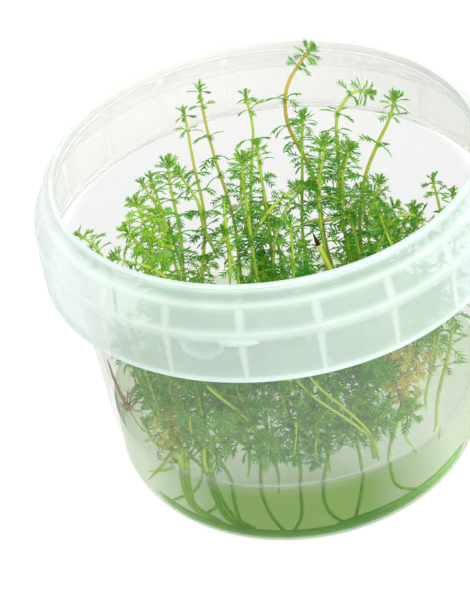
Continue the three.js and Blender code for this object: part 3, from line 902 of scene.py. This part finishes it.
class Plant:
    """Collects the tubes and leaves of one plant and turns them into one piece."""

    def __init__(self):
        self.vertices = []
        self.triangles = []
        self.tones = []
        self.materials = []
        self.count = 0

    def add(self, vertices, triangles, tone, material):
        self.vertices.append(vertices)
        self.triangles.append(triangles + self.count)
        self.tones.append(np.tile(tone, (len(vertices), 1)) if np.ndim(tone) == 1 else tone)
        self.materials.append(np.full(len(triangles), material))
        self.count += len(vertices)

    def piece(self, name, materials):
        """Keeps the leaves inside the wall and makes the mesh."""
        vertices = np.concatenate(self.vertices)
        triangles = np.concatenate(self.triangles)
        mesh = bpy.data.meshes.new(name)
        mesh.vertices.add(len(vertices))
        mesh.vertices.foreach_set("co", (kept_inside(vertices) * MM).ravel())
        mesh.loops.add(triangles.size)
        mesh.loops.foreach_set("vertex_index", triangles.ravel())
        mesh.polygons.add(len(triangles))
        mesh.polygons.foreach_set("loop_start", np.arange(0, triangles.size, 3))
        mesh.polygons.foreach_set("material_index", np.concatenate(self.materials))
        tone = mesh.attributes.new("tone", "FLOAT_COLOR", "POINT")
        tones = np.concatenate(self.tones)
        tone.data.foreach_set("color", np.hstack([tones, np.ones((len(tones), 1))]).ravel())
        mesh.update()
        mesh.validate()
        mesh.shade_smooth()
        return placed(name, mesh, materials)


def kept_inside(vertices):
    """Moves whatever would stand in the wall back to just inside it."""
    height = np.clip(vertices[:, 2], CORNER_RADIUS, TUB_HEIGHT)
    room = wall_outer(height) - WALL - WALL_GAP
    radius = np.hypot(vertices[:, 0], vertices[:, 1])
    over = np.where(radius > room, room / np.maximum(radius, 1e-6), 1.0)
    vertices[:, :2] *= over[:, None]
    return vertices


def ring_stops(end):
    """The numbers of the path points that get a ring of vertices: every fourth one, and the end."""
    return [*range(0, end, RING_EVERY), end]


def add_tube(plant, path, radii, tone, material, resolution=2):
    """A round closed tube along path points in mm. A stem is greener the lower it stands."""
    mesh = bead([Vector(p) * MM for p in path], radii, resolution)
    mesh.calc_loop_triangles()
    vertices = np.array([v.co[:] for v in mesh.vertices]) / MM
    triangles = np.array([t.vertices[:] for t in mesh.loop_triangles])
    bpy.data.meshes.remove(mesh)
    low = np.clip((STEM_GREENS_FROM - vertices[:, 2]) / (STEM_GREENS_FROM - STEM_GREEN_AT), 0, 1)
    tones = np.tile(tone, (len(vertices), 1))
    tones[:, 1] *= 1 - low
    tones[:, 2] += STEM_GREEN * low
    plant.add(vertices, triangles, tones, material)


def across_stem(way):
    """Two directions square to a stem's direction."""
    side = np.cross(way, (0.0, 1.0, 0.0))
    side /= max(np.linalg.norm(side), 1e-6)
    return side, np.cross(way, side)


def add_whorl(plant, root, way, turn, count, length, rise, droop, tone, template=None):
    """A ring of leaves round the stem at one place."""
    side, other = across_stem(way)
    # Painted light, partly: low leaves are made younger and less deep, so paler, which brightens the crowded
    # low foliage; shaded leaves also grow paler.
    pale = clamped((PALE_BELOW - root[2]) / PALE_FADES)
    for number in range(count):
        angle = turn + math.tau * number / count + random.uniform(-0.25, 0.25)
        outward = side * math.cos(angle) + other * math.sin(angle)
        age = tone[0] - PALE_YOUNGER * pale + random.uniform(-0.25, 0.25)
        deep = random.random() ** 1.5 * tone[2] * (1 - PALE_LESS_DEEP * pale)
        shade = (clamped(age), tone[1], deep)
        leaf = template or (FULL_LEAF if length > LONGEST_YOUNG_LEAF else YOUNG_LEAF)
        vertices = bent_leaf(leaf, root + outward * 0.2, way, outward, length * random.uniform(0.8, 1.12),
                             rise + random.uniform(-14, 14), droop + random.uniform(-20, 25),
                             random.uniform(-50, 50))
        plant.add(vertices, leaf[1], shade, 1)


# %% Shoots
# The rings of a tip: distance below it, rise, droop, leaf length and number of leaves.
BUD_RINGS = [(-0.3, 76, 10, 1.3, 4), (0.2, 50, 5, 1.7, 5), (0.9, 10, 30, 2.3, 5)]
ROSETTE_RINGS = [(-0.3, 80, 5, 1.7, 4), (0.3, 58, 15, 2.4, 5), (1.0, 34, 30, 2.9, 5), (2.0, 14, 45, 3.3, 5)]

TAPER = 0.35
THIN_START = 0.35
WIDENS = 8
SWAY = 0.35
GEL_SWAY = 0.7
SWAY_FADES = 8
GEL_SWAY_FADES = 12
SWAY_WAVES = (0.22, 0.17)
YOUTH_REACH = 9
DEEPEST = 1.7
WHORL_TURN = 0.61
LEAF_RISE = 14
YOUNG_RISE = 20
LEAF_DROOP = 55
YOUNG_DROOP = 10
SIDE_SPACING = 2.3
SIDE_RADIUS = 0.34
SIDE_TURN = 2.4
SIDE_BARE = 2.0
SIDE_LOW = 22
knot = bmesh.new()
bmesh.ops.create_icosphere(knot, subdivisions=1, radius=1.0)
knot_vertices, knot_triangles = as_arrays(knot)


def add_tip(plant, path, ways, rings, scale, tone):
    """The end of a shoot: a small knot of folded leaves, and rings of short leaves that open below it."""
    side, other = across_stem(ways[-1])
    turned = np.stack([side, other, ways[-1]])
    core = (knot_vertices * (0.5 * scale, 0.5 * scale, 0.8 * scale)) @ turned + path[-1] - 0.2 * ways[-1]
    plant.add(core, knot_triangles, (tone[0], tone[1], 0.8), 1)
    for number, (below, rise, droop, length, count) in enumerate(rings):
        at = min(max(len(path) - 1 - int(round(below * scale / PATH_STEP)), 0), len(path) - 1)
        add_whorl(plant, path[at], ways[at], number * 0.7, count, length * scale, rise, droop,
                  (tone[0], tone[1], 1.0))
    return rings[-1][0] * scale


def add_shoot(plant, points, gaps, every, tone, leaf_length, stem_radius, rings, count=LEAVES_PER_WHORL,
              scale=1.0, bare=0.0, fading=None, golden=0.0, lowest=LOWEST_WHORL):
    """One shoot: a tapering stem, its tip, and whorls from the tip down to where it is bare."""
    path, ways = smooth_path(points)
    sway = random.uniform(0, math.tau)
    bend = SWAY + (GEL_SWAY - SWAY) * np.clip((GEL_TOP + 3 - path[:, 2]) / GEL_SWAY_FADES, 0, 1)
    bend *= np.clip((points[-1][2] - path[:, 2]) / SWAY_FADES, 0, 1)
    path[:, 0] += bend * np.sin(sway + path[:, 2] * SWAY_WAVES[0])
    path[:, 1] += 0.5 * bend * np.cos(sway + path[:, 2] * SWAY_WAVES[1])
    length = len(path) - 1
    stops = ring_stops(length)
    radii = [stem_radius * (1 - TAPER * (s / length) ** 3) * min(1, THIN_START + s / WIDENS) for s in stops]
    add_tube(plant, path[stops], radii, (tone[0], max(tone[1], golden), 0.4), 0)
    distance = add_tip(plant, path, ways, rings, scale, tone)
    number = 0
    while True:
        distance += gaps[number] if number < len(gaps) else every * random.uniform(0.8, 1.2)
        at = length - int(round(distance / PATH_STEP))
        if at < bare / PATH_STEP or path[at][2] < lowest:
            break
        youth = math.exp(-distance / YOUTH_REACH)
        age = min(1, tone[0] + 0.5 * (1 - youth))
        deep = min(max(tone[0] + 0.7, 0), DEEPEST)
        fades = fading and fading[0] < path[at][2] < fading[1]
        faded = random.uniform(0.8, 1) if fades else tone[1]
        add_whorl(plant, path[at], ways[at], number * WHORL_TURN + distance, count,
                  leaf_length * (1 - 0.3 * youth), LEAF_RISE + YOUNG_RISE * youth,
                  LEAF_DROOP - YOUNG_DROOP * youth, (age, faded, deep), YOUNG_LEAF if fades else None)
        number += 1
    return path, ways


def add_side_shoots(plant, path, ways, number_of_shoots, high, tone, fading):
    """Short leafy shoots that leave a stem up to a height and turn upward."""
    heights = path[:, 2]
    for number in range(number_of_shoots):
        z = SIDE_LOW + (high - SIDE_LOW) * (number + random.random()) / number_of_shoots
        at = int(np.argmin(np.abs(heights - z)))
        side, other = across_stem(ways[at])
        angle = number * SIDE_TURN + random.uniform(-0.5, 0.5)
        outward = side * math.cos(angle) + other * math.sin(angle)
        length = random.uniform(8, 15)
        start = path[at]
        middle = start + outward * length * 0.42 + ways[at] * length * 0.30
        end = start + outward * length * random.uniform(0.5, 0.75) + np.array((0, 0, length * 0.75))
        shade = (clamped(tone[0] + random.uniform(-0.35, 0.45)), 0.0, 0.0)
        add_shoot(plant, [start, middle, end], [], SIDE_SPACING, shade, LEAF_LENGTH, SIDE_RADIUS,
                  ROSETTE_RINGS, scale=random.uniform(0.8, 1.0), bare=SIDE_BARE, fading=fading)


def add_bare_stem(plant, points, radius, tone):
    """A stem of one radius without leaves."""
    path = smooth_path(points)[0][::RING_EVERY]
    add_tube(plant, path, [radius] * len(path), tone, 0)


# %% [markdown]
# Two kinds of shoot stand in the tub. Thin ones that have run up to the light end in a small closed bud and
# carry few leaves. Sturdy ones end in an open rosette and are crowded below, where short side shoots fill
# the space between the stems. The tables give what sets single plantlets apart, by their number. An extra
# shoot is given by its points, the gaps between its whorls and the radius of its stem.

# %% Tables of the plantlets
BUD_TIPS = (1, 2, 3, 4, 10, 11, 16, 17, 18)
STRAIGHT_FEET = (16, 17, 31)
GOLDEN_STEMS = {1: 0.25, 2: 0.35, 3: 0.1, 5: 0.7, 8: 0.2, 11: 0.4, 16: 0.3}
STOUT_STEMS = {5: 0.52, 7: 0.48, 8: 0.5, 13: 0.48}
BRIGHT = {12: -0.6, 21: 0.8, 22: 1.2, 23: 1.3}
LONG_LEAVES = {12: 5.2, 19: 4.6, 26: 4.0, 27: 4.6}
CLOSE_WHORLS = {12: 1.9, 19: 2.2, 25: 2.2, 26: 2.0}
BARE_BELOW = {18: 66, 25: 30, 26: 25, 30: 30}
FADING = {25: (32, 45), 26: (25, 35)}
SIDE_SHOOTS = {8: 3, 11: 2, 12: 3, 13: 3, 16: 1, 17: 0, 18: 0, 19: 4, 20: 2, 23: 10, 24: 10, 26: 4, 28: 5,
               29: 5, 30: 2, 31: 1}
GEL_STEMS = {
    26: [([(-22.5, -29.5, 4.5), (-27.5, -29.5, 12), (-28, -29, 18), (-27.5, -28, 28)], 0.75),
         ([(-20.5, -30.5, 4.5), (-26.5, -30, 11), (-27, -29.5, 17), (-26, -28, 28)], 0.6)],
    27: [([(-15.5, -33, 4.5), (-19.5, -33.5, 9), (-21.5, -32.5, 15), (-22.5, -31, 23), (-22, -29, 30)], 0.6),
         ([(-14, -33, 4.5), (-18, -33.5, 9), (-20.3, -33, 15), (-21.5, -31.5, 23), (-20, -29, 30)], 0.45)],
}
EXTRA_SHOOTS = {
    4: [([(-2, 6, 46), (-1.2, 8, 53.8), (-1, 11, 59.4), (-0.9, 14, 65.4), (-1.1, 18, 72.5)],
         [1.8, 5, 6], 0.3)],
    9: [([(-14, 8, 50), (-15.6, 10, 57.5), (-15.7, 12, 63), (-17.4, 14, 66.1), (-19.5, 16, 69.5)],
         [2.5, 6], 0.4)],
    12: [([(-27.2, -12, 68), (-25.6, -11, 73), (-24.6, -10, 77.4)], [2, 2], 0.4),
         ([(-27.2, -12, 66), (-29.4, -11.5, 71), (-31.6, -10.5, 74.6)], [2, 2], 0.4)],
    13: [([(-6, 8, 52), (-5.1, 2, 59.1), (0.7, 6, 63.7), (4.9, 9, 64.4), (9.6, 11, 64.4)], [3, 4, 5], 0.42),
         ([(-6, 7, 52), (-6, 10, 63.5), (-5.4, 12, 68.9), (-4.7, 13, 73.2)], [2.2, 3], 0.34)],
    14: [([(-2, 1, 50), (0.2, 4, 56.7), (4.3, 8, 62.2), (8.5, 11, 64.4)], [3, 5], 0.42),
         ([(10, 6, 60), (11.6, 12, 67.2), (12.5, 14, 69.8), (13.4, 15, 72.5)], [2, 2.4], 0.34)],
    15: [([(6, 9, 55), (8.4, 8, 56.5), (12.6, 6, 57.4), (17.1, 4, 59.4)], [30], 0.42),
         ([(10, 9, 62), (13.8, 8, 62.4), (15.6, 6, 62.1), (17.4, 4, 60.2)], [2, 2.4], 0.34),
         ([(15, 9, 58), (16.3, 12, 65), (17.7, 13, 68.2), (19.4, 14, 70.7)], [2, 2.6], 0.34)],
    20: [([(25, -2, 50), (25.8, 2, 55.7), (25.3, 3, 59.2), (24.2, 4, 62.2), (22.2, 5, 64.1)], [7, 30], 0.5),
         ([(21, 3, 58), (22.8, 3, 63.2), (23.9, 3, 65.7), (24.8, 3, 68)], [2, 2.6], 0.34),
         ([(21, 0, 55), (23.4, 0, 59.7), (25.4, 0, 61.3), (27.1, 0, 62.9)], [2, 2.6], 0.34),
         ([(26, -7, 58), (28.5, -6, 62.5), (29.8, -6, 64.4), (30.8, -6, 66.1)], [2, 2.6], 0.34)],
    23: [([(3, -34, 34), (2.2, -37, 30), (1.2, -38.5, 25.5)], [1.6, 1.6], 0.3),
         ([(-1, -34, 36), (-2, -37, 32), (-3, -38.5, 27.5)], [1.6, 1.6], 0.3)],
    24: [([(16, -32, 18), (14.2, -36.9, 29.5), (9.3, -38.4, 39.1), (3.3, -39, 49.9), (0, -35, 57)],
          [4, 60], 0.3),
         ([(15, -32, 22), (13.6, -37.1, 30.4), (8.4, -38.7, 37.6), (3.2, -39.2, 44), (-1.3, -38, 51.5)],
          [4, 60], 0.3)],
    27: [([(-8, -32, 26), (-13.1, -33, 38.3), (-19.6, -33, 48.2), (-24, -29, 56)], [4, 60], 0.4)],
    28: [([(-11.5, -14, 58.7), (-10.6, -9, 65.5), (-9.9, -4, 73.7)], [2.2, 3, 12], 0.42)],
}

# %% Plantlets
FRONT = range(21, 28)
FRONT_SPACING = 3.2
UPPER_SPACING = 4.8
BACK_STARTS = 9
BACK_BARE_BELOW = 36
MID_STARTS = -5
BACK_SIDE_SHOOTS = 2
FRONT_SIDE_SHOOTS = 8
SIDE_HIGH = 49
STEM_RADIUS = 0.42
EXTRA_SPACING = 3.2
EXTRA_LEAF = 3.6
EXTRA_SCALE = 0.9
OUTER_FROM = 28
FOOT_REACH = 37.0
FOOT_LEVEL = 3.4
INNER_STEP = 1.0


def creeping_foot(root, number):
    """Where a stem lies on the floor before it rises: at the corner for an outer one, else beside it."""
    across = math.hypot(root[0], root[1])
    outer = across > OUTER_FROM
    turn = math.atan2(root[1], root[0]) + (0.13 if number % 2 else -0.1) * outer
    reach = FOOT_REACH if outer else across + INNER_STEP
    return (reach * math.cos(turn), reach * math.sin(turn), FOOT_LEVEL)


pieces = []
for number, (points, gaps) in enumerate(PLANTLETS, 1):
    if number not in STRAIGHT_FEET:
        points = [creeping_foot(points[0], number), *points]
    front = number in FRONT
    back = points[2][1] > BACK_STARTS
    bud = number in BUD_TIPS
    fading = FADING.get(number)
    tone = (BRIGHT.get(number, 0.5 if front else 0.3), 0.0, 0.3)
    plant = Plant()
    path, ways = add_shoot(
        plant, points, gaps, CLOSE_WHORLS.get(number, FRONT_SPACING if front else UPPER_SPACING), tone,
        LONG_LEAVES.get(number, LEAF_LENGTH), STOUT_STEMS.get(number, STEM_RADIUS),
        BUD_RINGS if bud else ROSETTE_RINGS, count=4 if bud else LEAVES_PER_WHORL, fading=fading,
        golden=GOLDEN_STEMS.get(number, 0.0),
        lowest=BARE_BELOW.get(number, BACK_BARE_BELOW if back else LOWEST_WHORL))
    for extra, extra_gaps, radius in EXTRA_SHOOTS.get(number, []):
        add_shoot(plant, extra, extra_gaps, EXTRA_SPACING, tone, EXTRA_LEAF, radius,
                  BUD_RINGS if len(extra_gaps) > 2 else ROSETTE_RINGS, scale=EXTRA_SCALE)
    for bundle, radius in GEL_STEMS.get(number, []):
        add_bare_stem(plant, bundle, radius, (0.3, 0.0, 0.3))
    usual = FRONT_SIDE_SHOOTS if points[2][1] < MID_STARTS else BACK_SIDE_SHOOTS
    add_side_shoots(plant, path, ways, SIDE_SHOOTS.get(number, usual),
                    SIDE_HIGH - 0.5 * max(points[-1][1], 0), tone, fading)
    piece = plant.piece(f"milfoil_{number:02d}", [stem_tissue, leaf_tissue])
    pieces.append(settle(piece, f"plantlet_{number:02d}"))
print(len(pieces), "plantlets,", sum(len(p.data.polygons) for p in pieces), "triangles, at most",
      max(len(p.data.polygons) for p in pieces), "in one")

# %% [markdown]
# One stem among the plants was cut through and has no leaves left, one sprig by the left wall is withered,
# with a few long thin threads, and some stems creep along the corner of the floor under the gel, where they
# show as a bright green band. That band is partly painted light: the stems are real, but their glaring
# yellow-green also stands in for the green light that the gel's rounded corner gathers.

# %% Cut stem
CUT_STEM = [(15, -17, 5), (14.5, -18, 30), (12.5, -16, 52), (8.1, -12, 67.5)]
CUT_RADIUS = 0.55
BROWN_LENGTH = 3.0
BROWN_RADII = [0.53, 0.45, 0.25, 0.08]

brown_tissue = tissue("browned cut", "#4a3018", "#3a2614", "#2c1c10", "#4a3018", 0.8, 0.0)
plant = Plant()
path, ways = smooth_path(CUT_STEM)
fresh_end = len(path) - 1 - int(BROWN_LENGTH / PATH_STEP)
stops = ring_stops(fresh_end)
add_tube(plant, path[stops], [CUT_RADIUS] * len(stops), (0.2, 0.1, 0.2), 0, resolution=3)
brown = [path[fresh_end], path[fresh_end + 2], path[-3], path[-1]]
add_tube(plant, brown, BROWN_RADII, (1.0, 0.0, 1.0), 1, resolution=3)
settle(plant.piece("cut_stem_piece", [stem_tissue, brown_tissue]), "cut_stem")

# %% Withered sprig
WITHERED_FOOT = [(-33, -12, 16), (-36.5, -13.5, 22), (-38.2, -13.5, 27.5)]
WITHERED_FOOT_RADIUS = 0.1
WITHERED = [(-38.2, -13.5, 27.5), (-39.6, -11.8, 31), (-40.6, -10.2, 35), (-41.2, -8.8, 39)]
WITHERED_RADII = [0.55, 0.4, 0.3, 0.12]
WITHERED_LEAVES = [(0, 14.0, 10, 30), (2, 12.0, 8, 18)]
WITHERED_DROOP = 10

withered_tissue = tissue("withered milfoil", "#a89a6c", "#9c8a60", "#84765a", "#d09a64", 0.8, 0.2)
plant = Plant()
path, ways = smooth_path(WITHERED)
add_tube(plant, WITHERED, WITHERED_RADII, (0.5, 0.3, 0.9), 0)
add_bare_stem(plant, WITHERED_FOOT, WITHERED_FOOT_RADIUS, (0.2, 0.0, 0.2))
for at, length, count, rise in WITHERED_LEAVES:
    add_whorl(plant, path[at], ways[at], 1.0 + at, count, length, rise, WITHERED_DROOP, (0.4, 0.3, 0.6),
              THREAD_LEAF)
settle(plant.piece("withered_sprig", [withered_tissue, withered_tissue]), "dead_sprig")

# %% Creeping stems
CREEPING = [(30, -150, -58), (52, -132, -30), (20, -84, -28)]
CREEPING_RADIUS = 0.55
STRANDS = 4
STRAND_GAP = 6
STRAND_STEPS = 40
STRAND_WAVE = 4
STRAND_WAVE_STEP = 0.35

# Painted light, partly: the runners' glaring yellow-green stands in for the green light that the gel's corner
# gathers.
runner_tissue_with_painted_light = tissue("milfoil runner", "#f4ff38", "#ccff24", "#9cf01c", "#a8a83a", 0.4, 0.3)
for number, (dip, start, end) in enumerate(CREEPING, 1):
    plant = Plant()
    for strand in range(STRANDS):
        thick = random.uniform(0.22, 0.45) if strand else CREEPING_RADIUS
        reach = CORNER_RADIUS - WALL - 0.2 - thick
        sway = random.uniform(0, math.tau)
        first = start + random.uniform(-8, 8) * (strand > 0)
        last = end + random.uniform(-16, 6) * (strand > 0)
        points = []
        radii = []
        for i in range(STRAND_STEPS + 1):
            share = i / STRAND_STEPS
            wave = STRAND_WAVE * math.sin(sway + i * STRAND_WAVE_STEP) * (strand > 0)
            lean = math.radians(dip + STRAND_GAP * strand + wave)
            radius = BASE_RADIUS + reach * math.cos(lean)
            z = CORNER_RADIUS - reach * math.sin(lean)
            points.append(np.array(on_skirt(radius, first + (last - first) * share, z) / MM))
            radii.append(thick * min(1, 0.2 + 8 * min(share, 1 - share)))
        add_tube(plant, points, radii, (random.random(), 0.0, random.random()), 0)
    settle(plant.piece(f"creeping_stem_{number}", [runner_tissue_with_painted_light, leaf_tissue]),
           f"runner_{number}")
